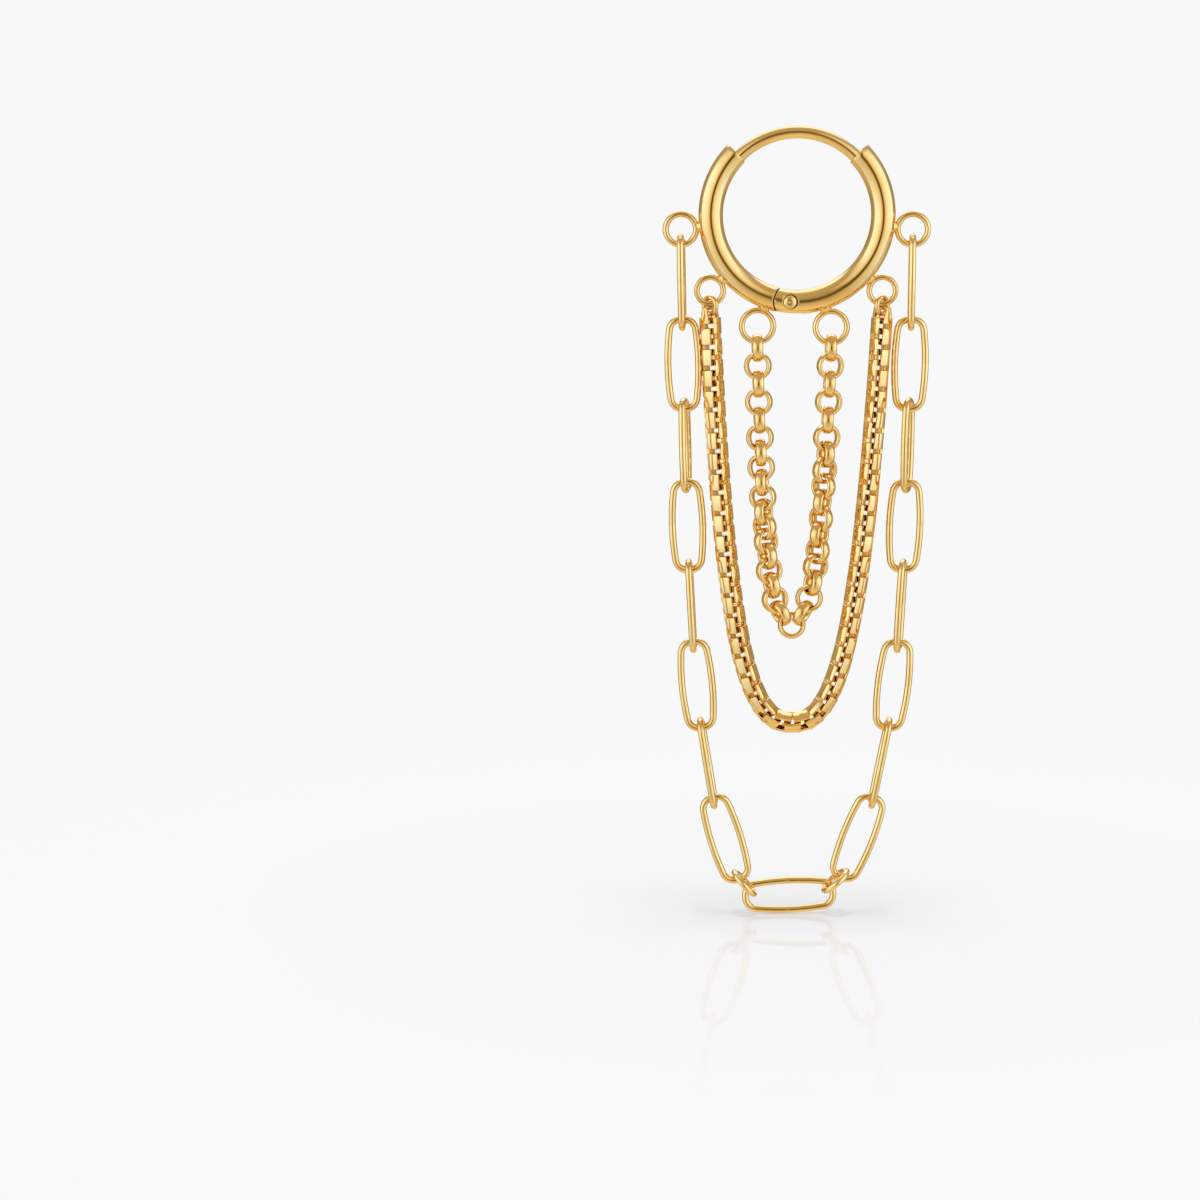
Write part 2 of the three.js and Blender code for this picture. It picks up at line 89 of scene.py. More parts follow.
def polished_gold_plate():
    """Gold plate over brass, polished with a mop: a mirror that is softened a little."""
    gold = bpy.data.materials.new("polished_gold_plate")
    gold.use_nodes = True
    gold.node_tree.nodes.clear()
    place = add_node(gold, "ShaderNodeTexCoord").outputs["Object"]
    # Plate depth wanders over about 3 mm.
    cloud = add_node(gold, "ShaderNodeTexNoise", {"Scale": 330, "Detail": 3}, {"Vector": place})
    tone = add_node(gold, "ShaderNodeValToRGB", {}, {"Fac": cloud.outputs["Fac"]})
    blend_colours(tone, [(0.3, "#F2C878"), (0.7, "#FBD890")])
    # Mop lines are a few microns apart, drawn here 0.1 mm apart so that they show.
    lines = add_node(gold, "ShaderNodeTexNoise", {"Scale": 9000, "Detail": 2}, {"Vector": place})
    # Orange peel about 0.8 mm across.
    peel = add_node(gold, "ShaderNodeTexNoise", {"Scale": 1200, "Detail": 1}, {"Vector": place})
    shine = add_node(
        gold,
        "ShaderNodeMapRange",
        {"To Min": 0.02, "To Max": 0.07},
        {"Value": cloud.outputs["Fac"]},
    )
    relief = add_node(
        gold,
        "ShaderNodeBump",
        {"Strength": 0.03, "Distance": 0.00001},
        {"Height": lines.outputs["Fac"]},
    )
    relief = add_node(
        gold,
        "ShaderNodeBump",
        {"Strength": 0.05, "Distance": 0.00003},
        {"Height": peel.outputs["Fac"], "Normal": relief.outputs["Normal"]},
    )
    # Painted shade: within 0.13 mm of other surfaces, the colour is darkened towards brown.
    painted_shade_ao = add_node(gold, "ShaderNodeAmbientOcclusion", {"Distance": 0.13 * MM, "samples": 8})
    reach = add_node(
        gold, "ShaderNodeMapRange", {"From Max": 0.55}, {"Value": painted_shade_ao.outputs["AO"]}
    )
    colour = add_node(
        gold,
        "ShaderNodeMixRGB",
        {"Color1": linear("#6A4618")},
        {"Fac": reach.outputs["Result"], "Color2": tone.outputs["Color"]},
    )
    surface = add_node(
        gold,
        "ShaderNodeBsdfPrincipled",
        {"Metallic": 1.0},
        {
            "Base Color": colour.outputs["Color"],
            "Roughness": shine.outputs["Result"],
            "Normal": relief.outputs["Normal"],
        },
    )
    add_node(gold, "ShaderNodeOutputMaterial", {}, {"Surface": surface.outputs["BSDF"]})
    return gold


gold_plate = polished_gold_plate()


# ---- hoop: the two tube halves ----
# A drawn brass tube bent round and cut in two halves that meet at a hinge. The left half is open
# at its top end to catch the ear wire, and a tongue fixed in it goes into a slot of the right half.

HOOP_CENTRE = Vector((0, 0, -6.23 * MM))
HOOP_RADIUS = 6.57 * MM
TUBE_RADIUS = 0.945 * MM
LEFT_END, RIGHT_END, HINGE_ANGLE = 135, 405, 265.8
CATCH_RADIUS = 0.64 * MM
CATCH_ARC = 6.31 * MM
CATCH_DEPTH = 20
RIM_WIDTH = 0.12 * MM
RIM_SINK = 0.6
KNUCKLE_RADIUS = 1.25 * MM
SEAM_GAP = 0.1 * MM
SEAM_DEPTH = 0.3 * MM
PIN_BORE_RADIUS = 0.57 * MM
TONGUE_THICKNESS = 0.6 * MM
TONGUE_INNER, TONGUE_OUTER, TONGUE_TIP_RADIUS = 5.95 * MM, 7.19 * MM, 0.62 * MM
TONGUE_START = 250
SHOULDER_START, SHOULDER_END = 252, 261
# How far the shoulder stays under the tube's surface, and how far it goes into each half.
SHOULDER_INSET = 0.07 * MM
SHOULDER_IN_LEFT, SHOULDER_IN_RIGHT = 0.02 * MM, 0.05 * MM
SLOT_WIDTH = 0.72 * MM
SLOT_END = 273.5
# Cutters go well past the tube: a disc's length, the slot's two arcs, and the waste at the hinge.
THROUGH = 3 * MM
SLOT_INNER, SLOT_OUTER = 5 * MM, 8 * MM
WASTE_THICKNESS, WASTE_REACH = 4 * MM, 5 * MM
EASED = 0.02 * MM


def around(centre, degrees, arc):
    """The place on an arc about a centre in the hoop's plane, anticlockwise from +X."""
    angle = math.radians(degrees)
    return centre + arc * Vector((math.cos(angle), 0, math.sin(angle)))


HINGE = around(HOOP_CENTRE, HINGE_ANGLE, HOOP_RADIUS)


def pick(kind, test):
    """In edit mode, selects only the faces, edges or points that pass the test."""
    bpy.ops.mesh.select_mode(type=kind)
    bpy.ops.mesh.select_all(action="DESELECT")
    mesh = bmesh.from_edit_mesh(bpy.context.object.data)
    for part in {"FACE": mesh.faces, "EDGE": mesh.edges, "VERT": mesh.verts}[kind]:
        if test(part):
            part.select_set(True)
    bmesh.update_edit_mesh(bpy.context.object.data)


def face_at(place):
    """A test for the one face whose middle is at a place, to a hundredth of a millimetre."""
    return lambda face: (face.calc_center_median() - place).length < 0.01 * MM


def on_bore_wall(face):
    """Whether a face is on the wall of the pin's hole, to five thousandths of a millimetre."""
    out = face.calc_center_median() - HINGE
    return math.hypot(out.x, out.z) < PIN_BORE_RADIUS + 0.005 * MM


def spin_on(centre, degrees, steps):
    """Spins what is selected about a centre in the hoop's plane, anticlockwise from the front."""
    bpy.ops.mesh.spin(steps=steps, angle=math.radians(degrees), center=centre, axis=(0, 1, 0))


def spin_section(centre, start, end, steps):
    """Spins the new section about a centre in the hoop's plane, and closes what it sweeps."""
    bpy.ops.object.transform_apply(location=True, rotation=True, scale=True)
    bpy.ops.object.mode_set(mode="EDIT")
    bpy.ops.mesh.select_all(action="SELECT")
    spin_on(centre, end - start, steps)
    bpy.ops.mesh.select_all(action="SELECT")
    bpy.ops.mesh.normals_make_consistent(inside=False)
    bpy.ops.object.mode_set(mode="OBJECT")
    return bpy.context.object


def bent_rod(centre, radius, sides, arc, start, end, steps):
    """A round rod bent about a centre from one angle to another, with flat ends."""
    bpy.ops.object.select_all(action="DESELECT")
    bpy.ops.mesh.primitive_circle_add(
        vertices=sides,
        radius=radius,
        fill_type="NGON",
        location=around(centre, start, arc),
        rotation=(0, -math.radians(start), 0),
    )
    return spin_section(centre, start, end, steps)


def bent_plate(centre, thickness, inner, outer, start, end, steps):
    """A flat plate in the hoop's plane, between two arcs and two angles about a centre."""
    bpy.ops.object.select_all(action="DESELECT")
    bpy.ops.mesh.primitive_plane_add(
        size=1,
        location=around(centre, start, (inner + outer) / 2),
        rotation=(0, -math.radians(start), 0),
    )
    bpy.context.object.scale = (outer - inner, thickness, 1)
    return spin_section(centre, start, end, steps)


def hinge_disc(radius, depth, sides):
    """A round plug along the hinge's axis."""
    bpy.ops.object.select_all(action="DESELECT")
    bpy.ops.mesh.primitive_cylinder_add(
        vertices=sides, radius=radius, depth=depth, location=HINGE, rotation=(math.pi / 2, 0, 0)
    )
    bpy.ops.object.transform_apply(location=True, rotation=True, scale=True)
    return bpy.context.object


def cut(piece, cutter, operation="DIFFERENCE"):
    """Cuts the cutter's shape out of a piece, joins it on, or keeps only what both share."""
    bpy.context.view_layer.objects.active = piece
    step = piece.modifiers.new("cut", "BOOLEAN")
    step.operation = operation
    step.object = cutter
    step.solver = "EXACT"
    bpy.ops.object.modifier_apply(modifier="cut")
    bpy.data.objects.remove(cutter)
    # A cut leaves points that all but coincide, which would stop a bevel short. Their order differs
    # from run to run, which moves a few corners by up to a few hundredths of a millimetre.
    bpy.ops.object.select_all(action="DESELECT")
    piece.select_set(True)
    bpy.ops.object.mode_set(mode="EDIT")
    bpy.ops.mesh.select_all(action="SELECT")
    bpy.ops.mesh.dissolve_degenerate(threshold=0.004 * MM)
    bpy.ops.object.mode_set(mode="OBJECT")


def ease_edges(piece, width, angle=35):
    """Bevels the edges sharper than an angle, unless the width is 0, and shades the rest smooth."""
    bpy.ops.object.select_all(action="DESELECT")
    piece.select_set(True)
    bpy.context.view_layer.objects.active = piece
    if width:
        bevel = piece.modifiers.new("bevel", "BEVEL")
        bevel.width = width
        bevel.segments = 2
        bevel.limit_method = "ANGLE"
        bevel.angle_limit = math.radians(angle)
        bpy.ops.object.modifier_apply(modifier="bevel")
    bpy.ops.object.shade_smooth_by_angle(angle=math.radians(angle))


def finish_piece(piece, name, *nodes, finish=gold_plate):
    """Names a piece and gives it its finish, and has it ride in place of its CAD nodes."""
    piece.name = name
    piece.data.name = name
    piece.data.materials.clear()
    piece.data.materials.append(finish)
    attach(piece, "root")
    if nodes:
        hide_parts(*nodes)


def painted_shade_plate():
    """The same plate, dull and dark brown: painted shade for the gaps in the hinge."""
    dull = bpy.data.materials.new("painted_shade_plate")
    dull.use_nodes = True
    dull.node_tree.nodes.clear()
    place = add_node(dull, "ShaderNodeTexCoord").outputs["Object"]
    # The painted shade varies in spots of about 0.05 mm.
    spots = add_node(dull, "ShaderNodeTexNoise", {"Scale": 20000, "Detail": 2}, {"Vector": place})
    tone = add_node(dull, "ShaderNodeValToRGB", {}, {"Fac": spots.outputs["Fac"]})
    blend_colours(tone, [(0.35, "#2C1C0C"), (0.7, "#50361A")])
    surface = add_node(
        dull,
        "ShaderNodeBsdfPrincipled",
        {"Metallic": 1, "Roughness": 0.6},
        {"Base Color": tone.outputs["Color"]},
    )
    add_node(dull, "ShaderNodeOutputMaterial", {}, {"Surface": surface.outputs["BSDF"]})
    return dull


painted_shade_finish = painted_shade_plate()

left_tube = bent_rod(HOOP_CENTRE, TUBE_RADIUS, 48, HOOP_RADIUS, LEFT_END, HINGE_ANGLE, 52)
bpy.ops.object.mode_set(mode="EDIT")
pick("FACE", face_at(around(HOOP_CENTRE, LEFT_END, HOOP_RADIUS)))
bpy.ops.mesh.inset(thickness=TUBE_RADIUS - CATCH_RADIUS)
bpy.ops.transform.translate(value=around(Vector(), LEFT_END, CATCH_ARC - HOOP_RADIUS))
spin_on(HOOP_CENTRE, CATCH_DEPTH, 6)
bpy.ops.object.mode_set(mode="OBJECT")
cut(left_tube, hinge_disc(KNUCKLE_RADIUS + SEAM_GAP, THROUGH, 96))
ease_edges(left_tube, EASED)
finish_piece(left_tube, "left_tube", "hoop_half_left")

tongue = bent_plate(
    HOOP_CENTRE, TONGUE_THICKNESS, TONGUE_INNER, TONGUE_OUTER, TONGUE_START, HINGE_ANGLE, 6
)
cut(tongue, hinge_disc(TONGUE_TIP_RADIUS, TONGUE_THICKNESS, 48), "UNION")
ease_edges(tongue, 0)
finish_piece(tongue, "hinge_tongue")

# The tongue's shoulder closes the seam. It stands back most at the front and at the back.
shoulder = bent_rod(
    HOOP_CENTRE, TUBE_RADIUS - SHOULDER_INSET, 48, HOOP_RADIUS, SHOULDER_START, SHOULDER_END, 6
)
shoulder.scale.y = 1 - SEAM_DEPTH / TUBE_RADIUS
bpy.ops.object.transform_apply(location=True, rotation=True, scale=True)
left_face = KNUCKLE_RADIUS + SEAM_GAP + SHOULDER_IN_LEFT
cut(shoulder, hinge_disc(left_face, THROUGH, 96), "INTERSECT")
cut(shoulder, hinge_disc(KNUCKLE_RADIUS - SHOULDER_IN_RIGHT, THROUGH, 96))
ease_edges(shoulder, 0)
# Its dark dull plate is painted shade in the seam.
finish_piece(shoulder, "hinge_shoulder", finish=painted_shade_finish)

right_tube = bent_rod(HOOP_CENTRE, TUBE_RADIUS, 48, HOOP_RADIUS, TONGUE_START, RIGHT_END, 62)
bpy.ops.object.mode_set(mode="EDIT")
pick("FACE", face_at(around(HOOP_CENTRE, RIGHT_END, HOOP_RADIUS)))
bpy.ops.mesh.inset(thickness=RIM_WIDTH)
spin_on(HOOP_CENTRE, -RIM_SINK, 1)
bpy.ops.object.mode_set(mode="OBJECT")
waste = bent_plate(
    HINGE, WASTE_THICKNESS, KNUCKLE_RADIUS, WASTE_REACH, HINGE_ANGLE - 180, HINGE_ANGLE, 48
)
cut(right_tube, waste)
slot = bent_plate(HOOP_CENTRE, SLOT_WIDTH, SLOT_INNER, SLOT_OUTER, TONGUE_START, SLOT_END, 10)
cut(right_tube, slot)
cut(right_tube, hinge_disc(PIN_BORE_RADIUS, THROUGH, 48))
ease_edges(right_tube, EASED)
finish_piece(right_tube, "right_tube", "hoop_half_right")
# The wall of the pin's hole gets the dark dull plate too: painted shade in the gap round the pin.
right_tube.data.materials.append(painted_shade_finish)
right_tube.active_material_index = 1
bpy.ops.object.mode_set(mode="EDIT")
pick("FACE", on_bore_wall)
bpy.ops.object.material_slot_assign()
bpy.ops.object.mode_set(mode="OBJECT")


# ---- ear wire ----
# A drawn brass wire soldered into the right tube. It runs a little inside the middle of the hoop,
# and its rounded tip springs into the left tube's open end.

EAR_WIRE_RADIUS = 0.49 * MM
EAR_WIRE_ARC = 6.23 * MM
EAR_WIRE_ROOT, EAR_WIRE_TIP = 36, 145
TIP_STEP = 1.2
TIP_TAPER = (0.86, 0.7, 0.4)

ear_wire = bent_rod(HOOP_CENTRE, EAR_WIRE_RADIUS, 32, EAR_WIRE_ARC, EAR_WIRE_ROOT, EAR_WIRE_TIP, 44)
bpy.ops.object.mode_set(mode="EDIT")
pick("FACE", face_at(around(HOOP_CENTRE, EAR_WIRE_TIP, EAR_WIRE_ARC)))
for shrink in TIP_TAPER:
    spin_on(HOOP_CENTRE, TIP_STEP, 1)
    bpy.ops.transform.resize(value=(shrink, shrink, shrink))
bpy.ops.object.mode_set(mode="OBJECT")
ease_edges(ear_wire, 0)
finish_piece(ear_wire, "ear_wire")


# ---- hinge pin ----
# A short brass pin through both halves, riveted over at each end, so that its two heads are
# slightly domed with a small centre dimple.

PIN_RADIUS = 0.44 * MM
PIN_LENGTH = 1.86 * MM
HEAD_SPREAD = 1.12
# Riveted a touch off the middle of its bore.
HEAD_SHIFT = (-0.04 * MM, 0, -0.03 * MM)
# From the rim in to the dimple: how far in and how far out each step goes, in millimetres.
HEAD_STEPS = ((0.04, 0.03), (0.1, 0.04), (0.13, 0.03), (0.12, 0.012), (0.04, -0.02))

pin = hinge_disc(PIN_RADIUS, PIN_LENGTH, 32)
bpy.ops.object.mode_set(mode="EDIT")
for front in (-1, 1):
    pick("FACE", face_at(HINGE + Vector((0, front * PIN_LENGTH / 2, 0))))
    bpy.ops.transform.resize(value=(HEAD_SPREAD, 1, HEAD_SPREAD))
    bpy.ops.transform.translate(value=HEAD_SHIFT)
    for width, rise in HEAD_STEPS:
        bpy.ops.mesh.inset(thickness=width * MM)
        bpy.ops.transform.translate(value=(0, front * rise * MM, 0))
bpy.ops.object.mode_set(mode="OBJECT")
ease_edges(pin, 0, 60)
finish_piece(pin, "hinge_pin_riveted", "hinge_pin")


# ---- soldered rings ----
# Three closed wire rings on each side, from the top down for the long link chain, the box chain
# and the belcher chain. Each is bent from wire and soldered to the tube with a small fillet.

# Degrees below level on the left and the right, outer and wire diameters.
RINGS = [
    (7, 7, 2.8 * MM, 0.48 * MM),
    (41, 41, 2.46 * MM, 0.44 * MM),
    (70.8, 72.4, 2.87 * MM, 0.45 * MM),
]
RING_SEAT = 0.02 * MM
FILLET_RADIUS = 0.5 * MM
FILLET_SINK = 0.12 * MM
# From the tube up: how far up each step goes, in millimetres, and how much it narrows.
FILLET_STEPS = ((0.12, 0.9), (0.07, 0.88), (0.08, 0.86), (0.08, 0.76))


def ring_angle(ring, side):
    """Where a ring sits on the hoop, in degrees anticlockwise from the right."""
    return 180 + ring[0] if side < 0 else 360 - ring[1]


def ring_centre(ring, side):
    """Middle of a ring that is pressed a little into the tube."""
    reach = HOOP_RADIUS + TUBE_RADIUS + ring[2] / 2 - RING_SEAT
    return around(HOOP_CENTRE, ring_angle(ring, side), reach)


def ring_floor(ring, side):
    """Height of the top of the wire at the bottom of a ring."""
    return ring_centre(ring, side).z - ring[2] / 2 + ring[3]


def close_ring(ring):
    """Takes out the sections that a full turn leaves inside, joins the ends and turns faces out."""
    bpy.ops.object.mode_set(mode="EDIT")
    pick("FACE", lambda face: len(face.verts) > 4)
    bpy.ops.mesh.delete(type="ONLY_FACE")
    bpy.ops.mesh.select_all(action="SELECT")
    bpy.ops.mesh.remove_doubles(threshold=0.001 * MM)
    bpy.ops.mesh.normals_make_consistent(inside=False)
    bpy.ops.object.mode_set(mode="OBJECT")
    return ring


def wire_ring(centre, diameter, wire, sides, steps):
    """A closed ring of round wire in the hoop's plane."""
    return close_ring(bent_rod(centre, wire / 2, sides, (diameter - wire) / 2, 0, 360, steps))


def solder_fillet(angle):
    """A small hollow-sided foot between the tube and a ring."""
    out = around(Vector(), angle, 1)
    foot = HOOP_RADIUS + TUBE_RADIUS - FILLET_SINK
    bpy.ops.object.select_all(action="DESELECT")
    bpy.ops.mesh.primitive_circle_add(
        vertices=24,
        radius=FILLET_RADIUS,
        fill_type="NGON",
        location=HOOP_CENTRE + foot * out,
        rotation=(0, math.pi / 2 - math.radians(angle), 0),
    )
    bpy.ops.object.transform_apply(location=True, rotation=True, scale=True)
    bpy.ops.object.mode_set(mode="EDIT")
    bpy.ops.mesh.select_all(action="SELECT")
    for rise, shrink in FILLET_STEPS:
        bpy.ops.mesh.extrude_region_move(TRANSFORM_OT_translate={"value": tuple(rise * MM * out)})
        bpy.ops.transform.resize(value=(shrink, shrink, shrink))
    bpy.ops.mesh.select_all(action="SELECT")
    bpy.ops.mesh.normals_make_consistent(inside=False)
    bpy.ops.object.mode_set(mode="OBJECT")
    return bpy.context.object


def join_pieces(pieces):
    """Makes one object of several."""
    bpy.ops.object.select_all(action="DESELECT")
    for piece in pieces:
        piece.select_set(True)
    bpy.context.view_layer.objects.active = pieces[0]
    bpy.ops.object.join()
    return bpy.context.object


for side, side_name in ((-1, "left"), (1, "right")):
    made = []
    for ring in RINGS:
        made.append(wire_ring(ring_centre(ring, side), ring[2], ring[3], 16, 48))
        made.append(solder_fillet(ring_angle(ring, side)))
    rings = join_pieces(made)
    ease_edges(rings, 0, 60)
    finish_piece(rings, f"soldered_rings_{side_name}")


# ---- long link chain ----
# Nine links a side and one across the bottom. Each long link is bent from round wire, with its
# butt joint welded in the middle of a long side, and a small round link leads to the bottom one.

CLIP_LENGTH = 7.28 * MM
CLIP_WIDTH = 2.84 * MM
CLIP_WIRE = 0.49 * MM
# The wire is made a tenth fuller than its solid.
CLIP_FULLNESS = 1.1
# How square the link's outline is, as the power of a rounded oval: 2 would be a plain oval.
CLIP_CORNER = 3.2
# Three arcs that follow that outline over a quarter of the link: radius, degrees and steps.
CLIP_BENDS = ((19.823 * MM, 7.535, 4), (0.913 * MM, 79.789, 9), (3.027 * MM, 2.676, 1))
WELD_SHARE = 0.98
WELD_HALF = 0.05 * MM
SMALL_LINK = 2.8 * MM
LINK_LENGTHS = [CLIP_LENGTH] * 8 + [SMALL_LINK]
LINK_GAP = 0.06 * MM
SMALL_LINK_GAP = 0.2 * MM
CHAIN_DRIFT = -0.1 * MM
SMALL_LINK_PULL = math.radians(45)
# From the top down: lean from the vertical and turn about the link's own length, in degrees.
LINK_LEANS = {
    -1: [1.3, 1.5, 1.7, 2.2, 3.4, 5.8, 9.6, 17.6, 43],
    1: [0.3, 0.6, 0.9, 1.5, 2.8, 6.0, 10.8, 20.4, 49],
}
LINK_TURNS = {
    -1: [85, 0, 78, 0, 86, 0, 85, 0, 90],
    1: [85, 0, 72, 0, 78, 0, 87, 0, 90],
}


def long_link():
    """A quarter of the link bent round three centres, then mirrored to the whole link."""
    bpy.ops.object.select_all(action="DESELECT")
    side = Vector(((CLIP_WIDTH - CLIP_WIRE) / 2, 0, 0))
    bpy.ops.mesh.primitive_circle_add(
        vertices=16, radius=CLIP_FULLNESS * CLIP_WIRE / 2, fill_type="NGON", location=side
    )
    bpy.ops.object.transform_apply(location=True, rotation=True, scale=True)
    bpy.ops.object.mode_set(mode="EDIT")
    bpy.ops.mesh.select_all(action="SELECT")
    # The weld stands a hair below the wire.
    bpy.ops.transform.resize(value=(WELD_SHARE, WELD_SHARE, 1))
    bpy.ops.mesh.extrude_region_move(TRANSFORM_OT_translate={"value": (0, 0, WELD_HALF)})
    bpy.ops.transform.resize(value=(1 / WELD_SHARE, 1 / WELD_SHARE, 1))
    bend, turned = side + Vector((0, 0, WELD_HALF)), 0
    for radius, turn, steps in CLIP_BENDS:
        centre = around(bend, turned + 180, radius)
        spin_on(centre, turn, steps)
        turned += turn
        bend = around(centre, turned, radius)
    for middle in (side, bend):
        pick("FACE", face_at(middle))
        bpy.ops.mesh.delete(type="ONLY_FACE")
    bpy.ops.object.mode_set(mode="OBJECT")
    link = bpy.context.object
    mirror = link.modifiers.new("mirror", "MIRROR")
    mirror.use_axis = (True, False, True)
    mirror.merge_threshold = 0.03 * MM
    bpy.ops.object.modifier_apply(modifier="mirror")
    bpy.ops.object.mode_set(mode="EDIT")
    bpy.ops.mesh.select_all(action="SELECT")
    bpy.ops.mesh.remove_doubles(threshold=0.005 * MM)
    bpy.ops.mesh.normals_make_consistent(inside=False)
    bpy.ops.object.mode_set(mode="OBJECT")
    ease_edges(link, 0, 60)
    return link


def placed_copy(pattern, place):
    """A copy of a pattern piece with its own mesh, put where the matrix says."""
    copy = bpy.data.objects.new(pattern.name, pattern.data.copy())
    bpy.context.collection.objects.link(copy)
    copy.data.transform(place)
    return copy


def link_reach(length):
    """A link's clear length, less the gap at its two ends."""
    gap = LINK_GAP if length == CLIP_LENGTH else SMALL_LINK_GAP
    return length - 2 * CLIP_WIRE - gap


def bottom_seat():
    """Where a small link pulls on the inside of the bottom link's rounded corner."""
    half_length = (CLIP_LENGTH - CLIP_WIRE) / 2
    half_width = (CLIP_WIDTH - CLIP_WIRE) / 2
    slope = math.tan(SMALL_LINK_PULL) * half_width / half_length
    ratio = slope ** (1 / (CLIP_CORNER - 1))
    along = (1 + ratio**CLIP_CORNER) ** (-1 / CLIP_CORNER)
    inset = CLIP_WIRE / 2 + LINK_GAP / 2
    return Vector((
        along * half_length - inset * math.cos(SMALL_LINK_PULL),
        0,
        ratio * along * half_width - inset * math.sin(SMALL_LINK_PULL),
    ))


def closing_factor(leans, across):
    """What all the leans of one side are multiplied by to come in that far."""
    low, high = 0.5, 1.5
    for _ in range(50):
        middle = (low + high) / 2
        run = sum(
            link_reach(length) * math.sin(math.radians(lean * middle))
            for length, lean in zip(LINK_LENGTHS, leans)
        )
        low, high = (middle, high) if run < across else (low, middle)
    return (low + high) / 2


def turned_to(where, lean, turn):
    """A place with a lean in the hoop's plane and a turn about the piece's own length."""
    leaned = Matrix.Translation(where) @ Matrix.Rotation(lean, 4, "Y")
    return leaned @ Matrix.Rotation(turn, 4, "Z")


link_pattern = long_link()
small_pattern = wire_ring(Vector(), SMALL_LINK, CLIP_WIRE, 16, 36)
ease_edges(small_pattern, 0, 60)
seat = bottom_seat()
chain_ends = {}
for side, side_name in ((-1, "left"), (1, "right")):
    joint = Vector((ring_centre(RINGS[0], side).x, 0, ring_floor(RINGS[0], side) + LINK_GAP / 2))
    factor = closing_factor(LINK_LEANS[side], abs(joint.x - CHAIN_DRIFT - side * seat.x))
    rows = zip(LINK_LENGTHS, LINK_LEANS[side], LINK_TURNS[side])
    for number, (length, lean, turn) in enumerate(rows, 1):
        lean = math.radians(lean * factor)
        step = link_reach(length) * Vector((-side * math.sin(lean), 0, -math.cos(lean)))
        place = turned_to(joint + step / 2, side * lean, math.radians(turn))
        link = placed_copy(small_pattern if length == SMALL_LINK else link_pattern, place)
        finish_piece(link, f"link_{side_name}_{number}", f"paperclip_{side_name}_{number}")
        joint = joint + step
    chain_ends[side] = joint
middle = (chain_ends[-1] + chain_ends[1]) / 2
across = chain_ends[1] - chain_ends[-1]
lean = math.pi / 2 - math.atan2(across.z, across.x)
place = turned_to(middle - Vector((0, 0, seat.z)), lean, 0)
finish_piece(placed_copy(link_pattern, place), "link_bottom", "paperclip_bottom")
bpy.data.objects.remove(link_pattern)
bpy.data.objects.remove(small_pattern)


# ---- box chain ----
# Square links of flat brass strip, each folded into a box that holds the next at a quarter turn.
# The chain hangs from a small jump ring on each side, and the end links' bars are filed narrow so
# that they go through it.

BOX_SIDE = 1.5 * MM
BOX_STRIP = 0.82 * MM
BOX_THICKNESS = 0.24 * MM
BOX_LENGTH = 1.3 * MM
BOX_FOLD = 0.1 * MM
BOX_LINKS = 85
BOX_BOTTOM = 45.43 * MM
# Half of the length at the bottom that the links can't bend.
BOX_STIFF = 0.32 * MM
BOX_END_WIDTH = 0.36 * MM
# Degrees about the chain's length, and how far and how fast they wander from link to link.
BOX_TURN = 39
BOX_WANDER = 2
BOX_WANDER_STEP = 2.4
# The ring's place is worked out for its solid's wire, and it is made of a fuller one.
JUMP_RING_RADIUS = 0.62 * MM
JUMP_RING_WIRE = 0.36 * MM
JUMP_RING_FULL_WIRE = 0.4 * MM
JUMP_RING_TURN = 45
JUMP_RING_GAP = 0.08 * MM


def hanging_chain(left_x, right_x, top_z, lowest_z, stiff=0):
    """The line that a hung chain takes, either side of a short straight length at the bottom.

    Gives its half length, the place at a distance from the lowest point, and the lean there.
    """
    half_span = (right_x - left_x) / 2 - stiff
    low, high = half_span / 20, half_span * 5
    for _ in range(60):
        bow = (low + high) / 2
        if bow * (math.cosh(half_span / bow) - 1) > top_z - lowest_z:
            low = bow
        else:
            high = bow

    def at(distance):
        """The place at a distance from the lowest point, negative to the left."""
        straight = max(-stiff, min(stiff, distance))
        bent = distance - straight
        x = (left_x + right_x) / 2 + straight + bow * math.asinh(bent / bow)
        return Vector((x, 0, lowest_z + math.hypot(bent, bow) - bow))

    def lean(distance):
        """How far the line leans from upright there, in radians."""
        upwards = at(distance + 0.01 * MM) - at(distance - 0.01 * MM)
        if distance < 0:
            upwards = -upwards
        return math.atan2(upwards.x, upwards.z)

    return stiff + bow * math.sinh(half_span / bow), at, lean


def on_outer_fold(edge):
    """Whether an edge is where the strip is folded, on the outside."""
    start, end = (vertex.co for vertex in edge.verts)
    return abs(start.x - end.x) > BOX_STRIP / 2 and abs(start.y) > BOX_SIDE / 2 - 0.01 * MM


def on_top_bar(vertex):
    """Whether a point belongs to the bar that holds the ring."""
    return vertex.co.z > BOX_LENGTH / 2 - BOX_THICKNESS - 0.01 * MM


def box_link(bar):
    """A box of folded strip, open along X, with its top bar filed to a width."""
    bpy.ops.object.select_all(action="DESELECT")
    bpy.ops.mesh.primitive_cube_add(size=1)
    link = bpy.context.object
    link.scale = (BOX_STRIP, BOX_SIDE, BOX_LENGTH)
    bpy.ops.object.transform_apply(location=True, rotation=True, scale=True)
    bpy.ops.object.mode_set(mode="EDIT")
    pick("FACE", lambda face: abs(face.normal.x) > 0.9)
    bpy.ops.mesh.inset(thickness=BOX_THICKNESS)
    bpy.ops.mesh.bridge_edge_loops()
    # A fold is round outside and sharp inside.
    pick("EDGE", on_outer_fold)
    bpy.ops.mesh.bevel(offset=BOX_FOLD, segments=3, affect="EDGES")
    if bar < BOX_STRIP:
        pick("VERT", on_top_bar)
        bpy.ops.transform.resize(value=(bar / BOX_STRIP, 1, 1))
    bpy.ops.mesh.select_all(action="SELECT")
    bpy.ops.mesh.normals_make_consistent(inside=False)
    bpy.ops.object.mode_set(mode="OBJECT")
    ease_edges(link, EASED, 50)
    return link


